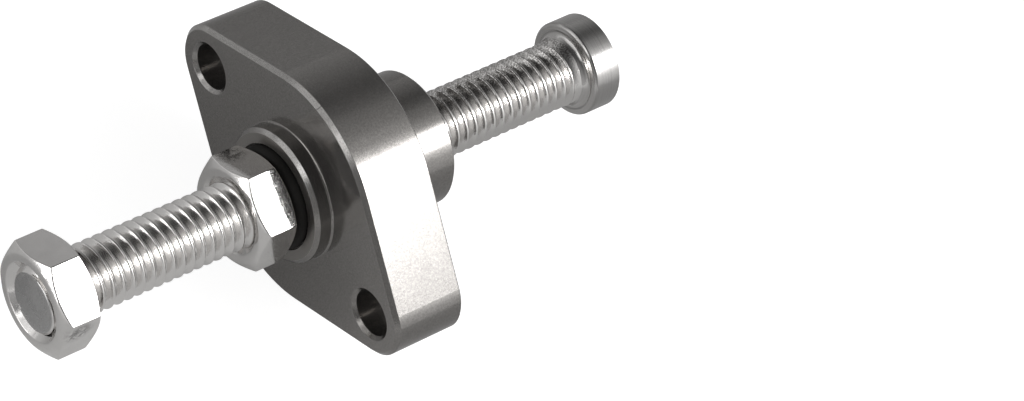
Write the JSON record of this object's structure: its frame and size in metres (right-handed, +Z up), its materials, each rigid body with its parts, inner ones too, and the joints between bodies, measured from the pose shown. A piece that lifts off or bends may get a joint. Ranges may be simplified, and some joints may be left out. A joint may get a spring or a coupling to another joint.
{
  "type": "cam chain tensioner",
  "caption": "Manual cam chain tensioner: diamond flange housing with boss and spigot, long threaded pusher bolt with a round head, lock nut, end nut and sealing ring.",
  "frame": {"origin": "where the bolt axis crosses the mounting face at the back of the flange", "axes": "+X along the bolt axis into the engine, +Y along the line of the two mounting holes, +Z up"},
  "size_m": [0.0942, 0.0526, 0.0354],
  "materials": {
    "anodised_housing": "satin, dark grey anodised",
    "bolt_steel": "bright zinc plate on the thread, turned head",
    "nut_steel": "bright zinc plate",
    "seal_rubber": "black"
  },
  "bodies": {
    "housing": {"housing": "anodised_housing"},
    "ring": {"o_ring": "seal_rubber"},
    "bolt": {"tensioner_bolt": "bolt_steel", "end_nut": "nut_steel"},
    "locknut": {"lock_nut": "nut_steel"}
  },
  "joints": [
    {"name": "bolt_turn", "type": "hinge", "parent": "housing", "child": "ring", "pos_m": [0, 0, 0], "axis": [1, 0, 0], "range_deg": [-6123, 5672]},
    {"name": "bolt_feed", "type": "slide", "parent": "ring", "child": "bolt", "axis": [1, 0, 0], "range_m": [-0.027, 0.02501]},
    {"name": "lock_nut_turn", "type": "hinge", "parent": "housing", "child": "locknut", "pos_m": [0, 0, 0], "axis": [1, 0, 0], "range_deg": [-180, 180]}
  ],
  "couplings": [
    {"joint": "bolt_turn", "follows": "bolt_feed", "rad_per_m": 3957.9}
  ]
}
